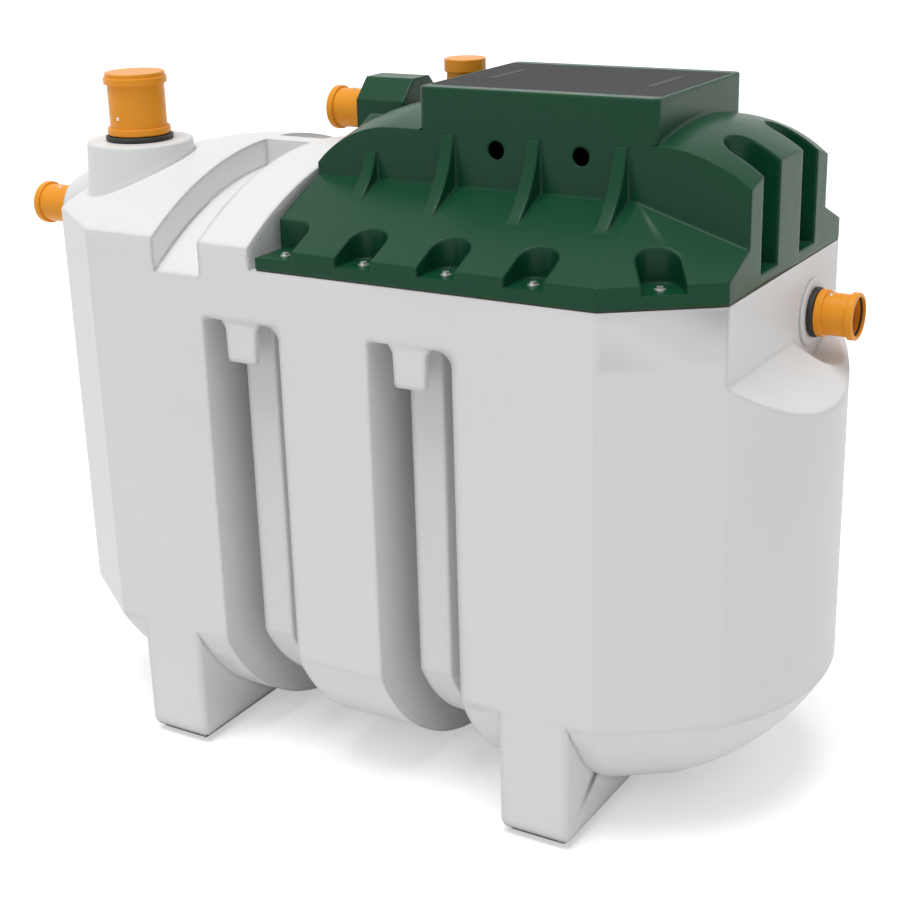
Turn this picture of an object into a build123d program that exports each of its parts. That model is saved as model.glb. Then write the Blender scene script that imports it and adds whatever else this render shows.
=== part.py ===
"""Packaged sewage treatment plant: moulded tank on foot rails, bolted lid with turret, and pipe sockets."""
import os
from math import cos, radians, sin, sqrt, tan

from build123d import *

os.makedirs("parts", exist_ok=True)

# Tank outline: flat sides, angled facets and round ends, as lengths from the middle of the tank;
# FAR is the reach of a cut that passes right through
WALL = 8.0
HALF_WIDTH = 600.0
END_AXIS = 604.7
END_PROUD = 38.3
END_RADIUS = HALF_WIDTH + END_PROUD
FACET_PROUD = 15.0
FACET_SET = HALF_WIDTH + FACET_PROUD
FACET_ANGLE = 35.7
TANK_END = END_AXIS + END_RADIUS
FAR = 4000.0

# Tank heights above the floor
BOWL_Z = 5.0
APEX_Z = 1805.0
RIM_Z = 1555.0
SHOULDER_Z = 1615.0
KNEE_Z = 389.0
JOINT_Z = RIM_Z - WALL
VAULT_RADIUS = (HALF_WIDTH**2 + (APEX_Z - SHOULDER_Z) ** 2) / (2 * (APEX_Z - SHOULDER_Z))

# Pipes: plain pipe, coupler sleeve and coupler rings
PIPE_R = 55.0
SLEEVE_R = 59.5
RING_R = 66.5
PIPE_WALL = 3.2
COUPLER_LENGTH = 142.0
OUTLET_COUPLER = 110.0
RING_WIDTH = 22.0
RING_ROUND = 4.0
STOP_HALF = 3.0
GROOVE = 4.0
SEAL_R = 70.0
RISER_PIPE_R = 80.0
RISER_SLEEVE_R = 86.0
RISER_RING_R = 95.0
RISER_PIPE_WALL = 4.7
RISER_COUPLER_LENGTH = 172.0
RISER_SEAL_R = 102.0
SEAL_GAP = 0.3

# Inlet, outlet and riser lines
INLET_Y = -200.0
INLET_Z = RIM_Z + 24.0
OUTLET_Y = 195.0
OUTLET_Z = RIM_Z - 159.0
INLET_SET = 47.0
INLET_FLAT = TANK_END - INLET_SET
INLET_REACH = 156.0
INLET_END = INLET_FLAT + INLET_REACH
INLET_SEAL = 13.0
SPOT_R = 84.0
HOOD_R = 95.0
HOOD_SLOPE = 28.0
OUTLET_RING_R = 95.0
OUTLET_RING_H = 10.0
OUTLET_GAP = 28.0
PIPE_TAIL = 90.0
RISER_X = -893.0
RISER_Y = -248.0
BOSS_Z = RIM_Z + 264.0
BOSS_RADIUS = 160.0
BOSS_DRAFT = 3.0
BOSS_ROUND = 6.0
RISER_SEAL = 16.0
RISER_START = BOSS_Z + RISER_SEAL + 2.0
PLUG_RISE = 12.0
PLUG_DEPTH = 40.0

# The frame's X origin is the middle of the whole plant, between the inlet coupler and the round end
CX = (INLET_END - TANK_END) / 2

# Flat end with its ledge, and the scoop under the outlet
FLAT_SET = 151.0
FLAT_X = TANK_END - FLAT_SET
OUTLET_START = FLAT_X + OUTLET_GAP
LEDGE_Z = 1345.0
LEDGE_SLOPE = 43.5
SCOOP_RADIUS = 140.0

# Strap recesses with their ribs and tabs
RECESS_X = 278.0
RECESS_HALF = 130.0
RECESS_TOP = RIM_Z - 154.0
RIB_HALF = 53.0
RIB_SET = 85.0
GROOVE_DEPTH = 240.0
TAB_HALF = 49.0
TAB_LENGTH = 118.0
TAB_THICK = 14.0
TAB_ROUND = 10.0
MOUTH_ROUND_LEFT = 20.0
MOUTH_ROUND_RIGHT = 44.0

# Foot rails
FOOT_INNER_X = 525.0
FOOT_OUTER_X = 742.0
FOOT_ROUND = 50.0
FOOT_EDGE = 14.0

# Roof: step beside the lid and the cross trough
STEP_X = -236.0
TROUGH_X = -493.0
TROUGH_WIDTH = 164.0
TROUGH_DEPTH = 80.0
TROUGH_RIDGE = 76.0
ACCESS_X = 430.0
ACCESS_LENGTH = 960.0
ACCESS_WIDTH = 760.0
ACCESS_CORNER = 80.0

# Lid: gasket, skirt, crown and turret
GASKET = 4.0
GASKET_WIDTH = 62.0
LID_Z = RIM_Z + GASKET
LID_LEFT = -211.0
LID_WALL = 6.0
BREAK_Z = RIM_Z + 62.0
SKIRT_SLOPE = 0.467
CORNER_SLOPE = 0.53
CROWN_HALF = 280.0
CROWN_Z = RIM_Z + 357.0
CROWN_RISE = 36.0
CROWN_LEFT_X = 40.0
CROWN_LEFT_R = 336.0
CROWN_RIGHT_R = 387.0
CROWN_BASE_Z = RIM_Z + 185.0
TURRET_LEFT = 130.0
TURRET_RIGHT = FLAT_X - 255.0
CROWN_RIGHT_X = TURRET_RIGHT + 3.0
TURRET_Z = RIM_Z + 474.0
TURRET_CORNER = 22.0
TURRET_ROUND = 6.0
TURRET_LEDGE = 45.0
POCKET_X = (-146.0, 110.0, 366.0, 622.0)
POCKET_HALF = 57.0
POCKET_DEPTH = 123.0
POCKET_Z = RIM_Z + 37.0
POCKET_ROUND = 45.0
CORNER_POCKET = -3.3
BOLT_Y = HALF_WIDTH - 55.0
WASHER_R = 15.0
WASHER_THICK = 2.5
BOLT_R = 9.8
BOLT_HEIGHT = 7.0
SLOT_INNER = 80.0
SLOT_OUTER = 200.0
SLOT_Z = RIM_Z + 33.0
SLOT_END_X = FLAT_X - 130.0
VENT_HOLE_X = (370.0, 622.0)
VENT_HOLE_Z = RIM_Z + 316.0
VENT_HOLE_R = 25.0
GUSSET_X = ((-28.0, 287.0), (224.0, 350.0), (484.0, 350.0), (738.0, 350.0))
GUSSET_WIDTH = 38.0
GUSSET_FOOT_Y = CROWN_HALF + 128.0
GUSSET_SAG = 22.0
GUSSET_TIP = 7.0

# Cover plate in the turret's top
COVER_LEFT = TURRET_LEFT + 15.0
COVER_RIGHT = TURRET_RIGHT - 12.0
COVER_HALF = CROWN_HALF - 45.0
COVER_THICK = 6.0
COVER_GAP = 2.0
COVER_SEAT = 20.0
STRIP_REACH = 240.0
STRIP_WIDTH = 26.0
STRIP_LENGTH = 200.0
STRIP_THICK = 1.2
STRIP_Y = 15.0

# Vent coupler with its cowl, and the small upright pipe
VENT_Y = 200.0
VENT_Z = RIM_Z + 320.0
VENT_END = -467.0
COWL_LEFT = VENT_END + COUPLER_LENGTH + 0.5
COWL_RIGHT = -156.0
COWL_REACH = 105.0
COWL_FOOT_Z = RIM_Z + 268.0
STACK_X = -2.0
STACK_Y = 200.0
STACK_Z = RIM_Z + 488.0
STACK_FOOT_Z = CROWN_Z - 60.0
CAP_R = 62.0
CAP_LENGTH = 38.0
CAP_TOP = 12.0


def section_face(half, inset, kind="whole"):
    """Tank section with an arched top and a round bottom, inset all round; whole, half or open sided."""
    w = half - inset
    rise = APEX_Z - SHOULDER_Z
    drop = KNEE_Z - BOWL_Z
    top_r = (half * half + rise * rise) / (2 * rise)
    low_r = (half * half + drop * drop) / (2 * drop)
    top_c = APEX_Z - top_r
    low_c = BOWL_Z + low_r
    rt = top_r - inset
    rl = low_r - inset
    shoulder = top_c + sqrt(rt * rt - w * w)
    knee = low_c - sqrt(rl * rl - w * w)
    top_mid = top_c + sqrt(rt * rt - w * w / 4)
    low_mid = low_c - sqrt(rl * rl - w * w / 4)
    far = 3 * w if kind == "open" else 0
    with BuildSketch() as face:
        with BuildLine():
            if kind == "open":
                Line((0, low_c - rl), (-far, low_c - rl))
                Line((-far, top_c + rt), (0, top_c + rt))
            Line((-far, low_c - rl), (-far, top_c + rt))
            ThreePointArc((0, top_c + rt), (w / 2, top_mid), (w, shoulder))
            Line((w, shoulder), (w, knee))
            ThreePointArc((w, knee), (w / 2, low_mid), (0, low_c - rl))
        make_face()
        if kind == "whole":
            mirror(about=Plane.YZ)
    return face.sketch


def tank_form(inset):
    """Whole tank as a solid, inset all round: flat middle, round ends and angled facets."""
    a = radians(FACET_ANGLE)
    axis_x = CX + END_AXIS
    middle = section_face(HALF_WIDTH, inset)
    with BuildPart() as head:
        with BuildSketch(Plane.XZ.move(Location((axis_x, 0, 0)))):
            add(section_face(END_RADIUS, inset, kind="half"))
        revolve(axis=Axis((axis_x, 0, 0), (0, 0, 1)), revolution_arc=360)
    with BuildPart() as round_end:
        with BuildSketch(Plane.YZ.offset(axis_x)):
            add(middle)
        extrude(amount=END_RADIUS + 100)
        add(head.part, mode=Mode.INTERSECT)
        for side in (-1, 1):
            facet_plane = Plane(
                origin=(axis_x, 0, 0),
                x_dir=(sin(a), side * cos(a), 0),
                z_dir=(side * cos(a), -sin(a), 0),
            )
            with BuildSketch(facet_plane):
                add(section_face(FACET_SET, inset, kind="open"))
            extrude(amount=1500, both=True, mode=Mode.INTERSECT)
    with BuildPart() as form:
        with BuildSketch(Plane.YZ.offset(CX)):
            add(middle)
        extrude(amount=END_AXIS, both=True)
        add(round_end.part)
        mirror(round_end.part, about=Plane.YZ.offset(CX))
    return form.part


def recess_cut(grow):
    """Strap recesses round the front, the underside and the back, with the ribs left standing."""
    height = RECESS_TOP + grow + 60
    with BuildPart() as pocket:
        with Locations(*[(CX + s * RECESS_X, 0, RECESS_TOP + grow) for s in (-1, 1)]):
            Box(2 * (RECESS_HALF + grow), FAR, height, align=(Align.CENTER, Align.CENTER, Align.MAX))
        with BuildSketch(Plane.YZ.offset(CX)):
            add(section_face(HALF_WIDTH, RIB_SET + grow))
        extrude(amount=END_AXIS, both=True, mode=Mode.SUBTRACT)
    groove_mid = (RECESS_HALF + RIB_HALF) / 2
    groove_width = RECESS_HALF - RIB_HALF + 2 * grow
    spots = [(CX + s * RECESS_X + g * groove_mid, 0, RECESS_TOP + grow) for s in (-1, 1) for g in (-1, 1)]
    with BuildPart() as cut:
        with Locations(*spots):
            Box(groove_width, FAR, height, align=(Align.CENTER, Align.CENTER, Align.MAX))
        with BuildSketch(Plane.YZ.offset(CX)):
            add(section_face(HALF_WIDTH, GROOVE_DEPTH + grow))
        extrude(amount=END_AXIS, both=True, mode=Mode.SUBTRACT)
        add(pocket.part)
    return cut.part


def end_cut(grow):
    """Flat end with its sloping ledge, and the scoop round the outlet."""
    k = tan(radians(LEDGE_SLOPE))
    x0 = CX + FLAT_X - grow
    z0 = LEDGE_Z + k * grow - grow * sqrt(1 + k * k)
    top = RIM_Z + 100
    with BuildPart() as cut:
        with BuildSketch(Plane.XZ):
            Polygon((x0, top), (x0, z0), (x0 + 400, z0 - 400 * k), (x0 + 400, top), align=None)
        extrude(amount=700, both=True)
        with BuildSketch(Plane.YZ.offset(x0)):
            with Locations((OUTLET_Y, OUTLET_Z)):
                Circle(SCOOP_RADIUS + grow)
        extrude(amount=400)
    return cut.part


def trough_cut(grow):
    """Cross trough over the roof, stopped by a ridge in the middle."""
    with BuildPart() as cut:
        for side in (-1, 1):
            with Locations((CX + TROUGH_X, side * (TROUGH_RIDGE / 2 - grow + 350), 1650)):
                Box(TROUGH_WIDTH + 2 * grow, 700, 500)
        with BuildSketch(Plane.YZ.offset(CX + TROUGH_X)):
            with Locations((0, APEX_Z - VAULT_RADIUS)):
                Circle(VAULT_RADIUS - TROUGH_DEPTH - grow)
        extrude(amount=TROUGH_WIDTH, both=True, mode=Mode.SUBTRACT)
    return cut.part


def riser_boss(inset):
    """Round boss under the riser, wider towards its foot."""
    with BuildPart() as boss:
        with BuildSketch(Plane.XY.offset(BOSS_Z - inset)):
            with Locations((CX + RISER_X, RISER_Y)):
                Circle(BOSS_RADIUS - inset)
        extrude(amount=inset - 250, taper=-BOSS_DRAFT)
        if inset == 0:
            fillet(boss.edges().group_by(Axis.Z)[-1], BOSS_ROUND)
    return boss.part


def inlet_hood(inset):
    """Half-round hood over the inlet that climbs to the riser boss."""
    with BuildPart() as hood:
        with BuildSketch(Plane.YZ.offset(CX - INLET_FLAT + inset)):
            with Locations((INLET_Y, INLET_Z)):
                Circle(HOOD_R - inset)
                Rectangle(2 * (HOOD_R - inset), 120, align=(Align.CENTER, Align.MAX))
        extrude(amount=280, dir=(cos(radians(HOOD_SLOPE)), 0, sin(radians(HOOD_SLOPE))))
    return hood.part


def tank_solid(inset):
    """Tank with feet and every cut, inset all round."""
    foot_width = FOOT_OUTER_X - FOOT_INNER_X - 2 * inset
    foot_length = 2 * (HALF_WIDTH - inset)
    foot_mid = (FOOT_OUTER_X + FOOT_INNER_X) / 2
    standing = (Align.CENTER, Align.CENTER, Align.MIN)
    with BuildPart() as feet:
        with Locations(*[(CX + s * foot_mid, 0, inset) for s in (-1, 1)]):
            Box(foot_width, foot_length, KNEE_Z - inset, align=standing)
        if inset == 0:
            fillet(feet.edges().group_by(Axis.Z)[0], FOOT_ROUND)
            fillet(feet.edges().filter_by(Axis.Z), FOOT_EDGE)
    with BuildPart() as solid:
        add(tank_form(inset))
        add(riser_boss(inset))
        add(inlet_hood(inset))
        with Locations(Location((CX - INLET_FLAT + inset, INLET_Y, INLET_Z), (0, -90, 0))):
            Cylinder(SPOT_R + inset, 100, align=(Align.CENTER, Align.CENTER, Align.MIN), mode=Mode.SUBTRACT)
        add(recess_cut(inset), mode=Mode.SUBTRACT)
        add(end_cut(inset), mode=Mode.SUBTRACT)
        add(trough_cut(inset), mode=Mode.SUBTRACT)
        with Locations((CX + STEP_X - inset, 0, RIM_Z - inset)):
            Box(FAR, FAR, FAR, align=(Align.MIN, Align.CENTER, Align.MIN), mode=Mode.SUBTRACT)
        add(feet.part)
    return solid.part


def skirt_form(inset, low):
    """Lid skirt as a solid: upright band, slope up to the crown, cut corners."""
    a = radians(FACET_ANGLE)
    w = HALF_WIDTH - inset
    drop = inset * sqrt(1 + SKIRT_SLOPE**2)
    with BuildPart() as form:
        with BuildSketch(Plane.YZ.offset(CX + LID_LEFT + inset)):
            Polygon(
                (-w, low),
                (-w, BREAK_Z + SKIRT_SLOPE * inset - drop),
                (0, BREAK_Z + SKIRT_SLOPE * HALF_WIDTH - drop),
                (w, BREAK_Z + SKIRT_SLOPE * inset - drop),
                (w, low),
                align=None,
            )
        extrude(amount=FLAT_X - LID_LEFT - 2 * inset)
        facet = FACET_SET - inset
        corner_drop = inset * sqrt(1 + CORNER_SLOPE**2)
        for side in (-1, 1):
            facet_plane = Plane(
                origin=(CX + END_AXIS, 0, 0),
                x_dir=(sin(a), side * cos(a), 0),
                z_dir=(side * cos(a), -sin(a), 0),
            )
            with BuildSketch(facet_plane):
                Polygon(
                    (facet, low),
                    (facet, BREAK_Z + CORNER_SLOPE * inset - corner_drop),
                    (facet - 700, BREAK_Z + CORNER_SLOPE * (700 + inset) - corner_drop),
                    (-3000, BREAK_Z + CORNER_SLOPE * (700 + inset) - corner_drop),
                    (-3000, low),
                    align=None,
                )
            extrude(amount=1500, both=True, mode=Mode.INTERSECT)
    return form.part


def crown_section(inset, low):
    """Crown section across the lid: upright sides and a low arched top."""
    arch = (CROWN_HALF**2 + CROWN_RISE**2) / (2 * CROWN_RISE)
    w = CROWN_HALF - inset
    top = CROWN_Z + CROWN_RISE - inset
    edge = top - (arch - inset) + sqrt((arch - inset) ** 2 - w * w)
    with BuildSketch() as face:
        with BuildLine():
            Polyline((w, edge), (w, low), (-w, low), (-w, edge))
            ThreePointArc((-w, edge), (0, top), (w, edge))
        make_face()
    return face.sketch


def crown_form(inset, low):
    """Crown as a solid: level top that rolls down at both ends."""
    left_axis = Axis((CX + CROWN_LEFT_X, 0, CROWN_Z - CROWN_LEFT_R), (0, -1, 0))
    right_axis = Axis((CX + CROWN_RIGHT_X, 0, CROWN_Z - CROWN_RIGHT_R), (0, 1, 0))
    with BuildPart() as form:
        with BuildSketch(Plane.YZ.offset(CX + CROWN_LEFT_X)):
            add(crown_section(inset, low))
        extrude(amount=CROWN_RIGHT_X - CROWN_LEFT_X)
        with BuildSketch(Plane.YZ.offset(CX + CROWN_LEFT_X)):
            add(crown_section(inset, CROWN_Z - CROWN_LEFT_R + 2))
        revolve(axis=left_axis, revolution_arc=62)
        with BuildSketch(Plane.YZ.offset(CX + CROWN_RIGHT_X)):
            add(crown_section(inset, CROWN_Z - CROWN_RIGHT_R + 2))
        revolve(axis=right_axis, revolution_arc=62)
        with Locations((CX + LID_LEFT, 0, low)):
            Box(
                FLAT_X - LID_LEFT,
                2 * (CROWN_HALF - inset),
                CROWN_BASE_Z - low,
                align=(Align.MIN, Align.CENTER, Align.MIN),
            )
        with Locations((CX + LID_LEFT + inset, 0, low)):
            Box(
                FLAT_X - LID_LEFT - 2 * inset,
                FAR,
                FAR,
                align=(Align.MIN, Align.CENTER, Align.MIN),
                mode=Mode.INTERSECT,
            )
        with Locations((CX + TURRET_LEFT - inset, 0, CROWN_Z - inset)):
            Box(
                TURRET_RIGHT - TURRET_LEFT + 2 * inset,
                FAR,
                FAR,
                align=(Align.MIN, Align.CENTER, Align.MIN),
                mode=Mode.SUBTRACT,
            )
    return form.part


def lid_cut(grow):
    """End slots between the fins, and the bolt pockets round the skirt."""
    a = radians(FACET_ANGLE)
    slot_r = (SLOT_OUTER - SLOT_INNER) / 2 + grow
    slot_mid = (SLOT_OUTER + SLOT_INNER) / 2
    depth = POCKET_DEPTH
    with BuildPart() as cut:
        with BuildSketch(Plane.XY.offset(SLOT_Z - grow)):
            with Locations(*[(CX + SLOT_END_X + 60 + 200, s * slot_mid) for s in (-1, 1)]):
                SlotCenterToCenter(400, 2 * slot_r)
        extrude(amount=500)
        with BuildSketch(Plane.XY.offset(POCKET_Z - grow)):
            for x in POCKET_X[1:]:
                with Locations((CX + x, -HALF_WIDTH)):
                    RectangleRounded(2 * (POCKET_HALF + grow), 2 * (depth + grow), POCKET_ROUND + grow)
            with Locations((CX + POCKET_X[0] - 75, -HALF_WIDTH)):
                RectangleRounded(2 * (POCKET_HALF + grow) + 150, 2 * (depth + grow), POCKET_ROUND + grow)
        extrude(amount=300)
        corner_plane = Plane(origin=(CX + END_AXIS, 0, POCKET_Z - grow), x_dir=(cos(a), sin(a), 0))
        with BuildSketch(corner_plane):
            with Locations((CORNER_POCKET, -FACET_SET)):
                RectangleRounded(2 * (POCKET_HALF + grow), 2 * (depth + grow), POCKET_ROUND + grow)
        extrude(amount=300)
        mirror(about=Plane.XZ)
    return cut.part


def lid_solid(inset, low):
    """Skirt and crown together with their slots and pockets."""
    with BuildPart() as solid:
        add(skirt_form(inset, low))
        add(crown_form(inset, low))
        add(lid_cut(inset), mode=Mode.SUBTRACT)
    return solid.part


def coupler(place, length, sleeve_r, ring_r, socket_r):
    """Pipe coupler: sleeve with a ring at each end, a socket from each side and a stop between them."""
    bottom = (Align.CENTER, Align.CENTER, Align.MIN)
    socket = length / 2 - STOP_HALF
    groove_half = RING_WIDTH / 2 - GROOVE
    far_end = place * Location((0, 0, length - RING_WIDTH))
    with BuildPart() as body:
        with Locations(place):
            Cylinder(sleeve_r, length, align=bottom)
        with Locations(place, far_end):
            Cylinder(ring_r, RING_WIDTH, align=bottom)
        rims = body.edges().filter_by(GeomType.CIRCLE)
        fillet(rims.filter_by(lambda e: abs(e.radius - ring_r) < 0.01), RING_ROUND)
        with Locations(place):
            Cylinder(socket_r - GROOVE, length, align=bottom, mode=Mode.SUBTRACT)
        with Locations(place, place * Location((0, 0, length - socket))):
            Cylinder(socket_r, socket, align=bottom, mode=Mode.SUBTRACT)
        with Locations(place * Location((0, 0, RING_WIDTH / 2)), far_end * Location((0, 0, RING_WIDTH / 2))):
            Cylinder(socket_r + GROOVE, groove_half, mode=Mode.SUBTRACT)
    return body.part


def pipe(place, length, radius, wall):
    """Plain pipe."""
    with BuildPart() as body:
        with Locations(place):
            Cylinder(radius, length, align=(Align.CENTER, Align.CENTER, Align.MIN))
            Cylinder(radius - wall, length, align=(Align.CENTER, Align.CENTER, Align.MIN), mode=Mode.SUBTRACT)
    return body.part


def seal(place, length, inner_r, outer_r):
    """Rubber ring round a pipe, with its edges rounded."""
    with BuildPart() as body:
        with Locations(place):
            Cylinder(outer_r, length, align=(Align.CENTER, Align.CENTER, Align.MIN))
        fillet(body.edges().filter_by(GeomType.CIRCLE), length * 0.3)
        with Locations(place):
            Cylinder(inner_r, length, align=(Align.CENTER, Align.CENTER, Align.MIN), mode=Mode.SUBTRACT)
    return body.part


def lip(place, length):
    """Rubber ring in the groove of a coupler's open mouth."""
    groove_half = RING_WIDTH / 2 - GROOVE
    spot = place * Location((0, 0, length - RING_WIDTH / 2 - groove_half / 2 + SEAL_GAP / 2))
    return pipe(spot, groove_half - SEAL_GAP, PIPE_R + SEAL_GAP + GROOVE - 0.1, GROOVE - 0.3)


# Axes of the pipes, each pointing out of the plant
outlet_place = Location((CX + FLAT_X, OUTLET_Y, OUTLET_Z), (0, 90, 0))
inlet_place = Location((CX - INLET_FLAT, INLET_Y, INLET_Z), (0, -90, 0))
riser_place = Location((CX + RISER_X, RISER_Y, BOSS_Z))
pipe_hole = PIPE_R + SEAL_GAP
riser_hole = RISER_PIPE_R + SEAL_GAP

# Moulded tank hull, split into foot rails, bottoms, ends, panels, recess linings, roof and deck
with BuildPart() as hull:
    add(tank_solid(0))
    add(tank_solid(WALL), mode=Mode.SUBTRACT)
    with Locations(outlet_place):
        Cylinder(OUTLET_RING_R, OUTLET_RING_H, align=(Align.CENTER, Align.CENTER, Align.MIN))
        fillet(hull.edges().filter_by(lambda e: abs(e.center().X - CX - FLAT_X - OUTLET_RING_H) < 0.01), 5)
    with Locations(outlet_place, inlet_place):
        Cylinder(pipe_hole, 80, mode=Mode.SUBTRACT)
    with Locations(riser_place):
        Cylinder(riser_hole, 80, mode=Mode.SUBTRACT)

# Hollow foot rails with the barrel's bottom between their sides
hanging = (Align.CENTER, Align.CENTER, Align.MAX)
foot_width = FOOT_OUTER_X - FOOT_INNER_X
foot_spots = [(CX + s * (FOOT_OUTER_X + FOOT_INNER_X) / 2, 0, KNEE_Z) for s in (-1, 1)]
with BuildPart() as foot_rails:
    add(hull.part)
    with Locations(*foot_spots):
        Box(foot_width, FAR, FAR, align=hanging, mode=Mode.INTERSECT)
foot_rails.part.label = "foot_rails"
export_step(foot_rails.part, "parts/foot_rails.step")

# Barrel bottom between the rails, and the bowls outside them
with BuildPart() as tank_belly:
    add(hull.part)
    with Locations((CX, 0, KNEE_Z)):
        Box(2 * FOOT_INNER_X, FAR, FAR, align=hanging, mode=Mode.INTERSECT)
tank_belly.part.label = "tank_belly"
export_step(tank_belly.part, "parts/tank_belly.step")
with BuildPart() as tank_bowls:
    add(hull.part)
    with Locations((CX, 0, KNEE_Z)):
        Box(FAR, FAR, FAR, align=hanging, mode=Mode.INTERSECT)
        Box(2 * FOOT_OUTER_X, FAR, FAR, align=hanging, mode=Mode.SUBTRACT)
tank_bowls.part.label = "tank_bowls"
export_step(tank_bowls.part, "parts/tank_bowls.step")

# Round ends, the right one with the ledge and the outlet
wall_height = JOINT_Z - KNEE_Z
recess_outer = RECESS_X + RECESS_HALF
with BuildPart() as tank_left_end:
    add(hull.part)
    with Locations((CX - recess_outer, 0, KNEE_Z)):
        Box(FAR, FAR, wall_height, align=(Align.MAX, Align.CENTER, Align.MIN), mode=Mode.INTERSECT)
tank_left_end.part.label = "tank_left_end"
export_step(tank_left_end.part, "parts/tank_left_end.step")
with BuildPart() as tank_right_end:
    add(hull.part)
    with Locations((CX + recess_outer, 0, KNEE_Z)):
        Box(FAR, FAR, wall_height, align=(Align.MIN, Align.CENTER, Align.MIN), mode=Mode.INTERSECT)
tank_right_end.part.label = "tank_right_end"
export_step(tank_right_end.part, "parts/tank_right_end.step")

# Panels above the strap recesses, front and back
with BuildPart() as tank_headers:
    add(hull.part)
    with Locations((CX, 0, RECESS_TOP)):
        Box(
            2 * recess_outer,
            FAR,
            JOINT_Z - RECESS_TOP,
            align=(Align.CENTER, Align.CENTER, Align.MIN),
            mode=Mode.INTERSECT,
        )
tank_headers.part.label = "tank_headers"
export_step(tank_headers.part, "parts/tank_headers.step")

# Panels between the strap recesses, front and back
recess_height = RECESS_TOP - KNEE_Z
with BuildPart() as tank_middle_panels:
    add(hull.part)
    with Locations((CX, 0, KNEE_Z)):
        Box(
            2 * (RECESS_X - RECESS_HALF),
            FAR,
            recess_height,
            align=(Align.CENTER, Align.CENTER, Align.MIN),
            mode=Mode.INTERSECT,
        )
tank_middle_panels.part.label = "tank_middle_panels"
export_step(tank_middle_panels.part, "parts/tank_middle_panels.step")

# Ribbed linings of the strap recesses
with BuildPart() as recess_linings:
    add(hull.part)
    with Locations(*[(CX + s * RECESS_X, 0, KNEE_Z) for s in (-1, 1)]):
        Box(
            2 * RECESS_HALF,
            FAR,
            recess_height,
            align=(Align.CENTER, Align.CENTER, Align.MIN),
            mode=Mode.INTERSECT,
        )
recess_linings.part.label = "recess_linings"
export_step(recess_linings.part, "parts/recess_linings.step")

# Rounded corners in the tops of the recesses
with BuildPart() as recess_corners:
    with BuildSketch(Plane.XZ.offset(HALF_WIDTH)):
        for side in (-1, 1):
            for hand, size in ((-1, MOUTH_ROUND_LEFT), (1, MOUTH_ROUND_RIGHT)):
                corner = (CX + side * RECESS_X + hand * RECESS_HALF, RECESS_TOP)
                with Locations((corner[0] - hand * size / 2, corner[1] - size / 2)):
                    Rectangle(size, size)
                with Locations((corner[0] - hand * size, corner[1] - size)):
                    Circle(size, mode=Mode.SUBTRACT)
    extrude(amount=-GROOVE_DEPTH)
    mirror(about=Plane.XZ)
recess_corners.part.label = "recess_corners"
export_step(recess_corners.part, "parts/recess_corners.step")

# Roof with the cross trough, the riser boss and the hood over the inlet
with BuildPart() as tank_roof:
    add(hull.part)
    with Locations((CX + STEP_X, 0, JOINT_Z)):
        Box(FAR, FAR, FAR, align=(Align.MAX, Align.CENTER, Align.MIN), mode=Mode.INTERSECT)
tank_roof.part.label = "tank_roof"
export_step(tank_roof.part, "parts/tank_roof.step")

# Deck under the lid with the access opening
with BuildPart() as tank_deck:
    add(hull.part)
    with Locations((CX + STEP_X, 0, JOINT_Z)):
        Box(FAR, FAR, FAR, align=(Align.MIN, Align.CENTER, Align.MIN), mode=Mode.INTERSECT)
    with BuildSketch(Plane.XY.offset(JOINT_Z)):
        with Locations((CX + ACCESS_X, 0)):
            RectangleRounded(ACCESS_LENGTH, ACCESS_WIDTH, ACCESS_CORNER)
    extrude(amount=WALL, mode=Mode.SUBTRACT)
tank_deck.part.label = "tank_deck"
export_step(tank_deck.part, "parts/tank_deck.step")

# Strap tabs hanging in the mouths of the recesses
with BuildPart() as strap_tabs:
    for side in (-1, 1):
        with BuildSketch(Plane.XZ.offset(HALF_WIDTH)):
            with Locations((CX + side * RECESS_X, RECESS_TOP)):
                Polygon(
                    (-TAB_HALF - 16, 0),
                    (-TAB_HALF - 3, -22),
                    (-TAB_HALF, -TAB_LENGTH),
                    (TAB_HALF, -TAB_LENGTH),
                    (TAB_HALF + 3, -22),
                    (TAB_HALF + 16, 0),
                    align=None,
                )
        extrude(amount=-TAB_THICK)
    fillet(strap_tabs.edges().group_by(Axis.Z)[0].filter_by(Axis.Y), TAB_ROUND)
    mirror(about=Plane.XZ)
strap_tabs.part.label = "strap_tabs"
export_step(strap_tabs.part, "parts/strap_tabs.step")

# Gasket between lid and deck
with BuildPart() as lid_gasket:
    add(skirt_form(2, RIM_Z))
    add(skirt_form(GASKET_WIDTH, RIM_Z - 60), mode=Mode.SUBTRACT)
    with Locations((CX, 0, RIM_Z)):
        Box(FAR, FAR, GASKET, align=(Align.CENTER, Align.CENTER, Align.MIN), mode=Mode.INTERSECT)
lid_gasket.part.label = "lid_gasket"
export_step(lid_gasket.part, "parts/lid_gasket.step")

# Lid moulding, split into crown and skirts
lid_outer = lid_solid(0, LID_Z)
with BuildPart() as lid_hull:
    add(lid_outer)
    add(lid_solid(LID_WALL, LID_Z - 60), mode=Mode.SUBTRACT)

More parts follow.
